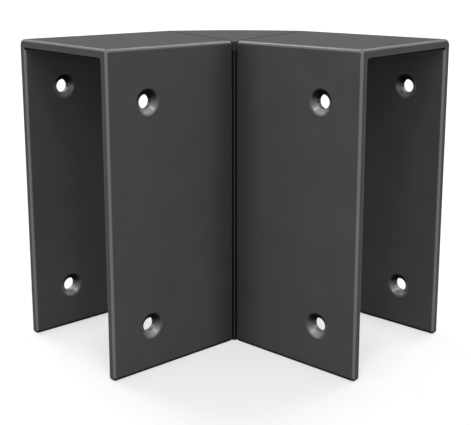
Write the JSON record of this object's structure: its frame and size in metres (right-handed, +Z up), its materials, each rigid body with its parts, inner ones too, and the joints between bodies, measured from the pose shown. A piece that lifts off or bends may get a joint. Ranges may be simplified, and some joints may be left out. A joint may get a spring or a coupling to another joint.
{
  "type": "pergola purlin bracket",
  "caption": "Angled steel corner bracket of folded, open-bottomed channels under a flush top gusset, for bolting timber purlins at a pergola corner.",
  "frame": {"origin": "middle of the bounding box, in the plane of the feet of the walls", "axes": "+Z up, +X across the corner towards the right arm, +Y from the concave corner towards the back; the bracket is a mirror image of itself across the YZ plane"},
  "size_m": [0.28, 0.1626, 0.2032],
  "materials": {
    "plate_coating": "satin",
    "gusset_coating": "satin",
    "weld_coating": "satin"
  },
  "bodies": {
    "root": {"left_channel": "plate_coating", "right_channel": "plate_coating", "top_gusset": "gusset_coating", "corner_weld": "weld_coating"}
  },
  "joints": []
}
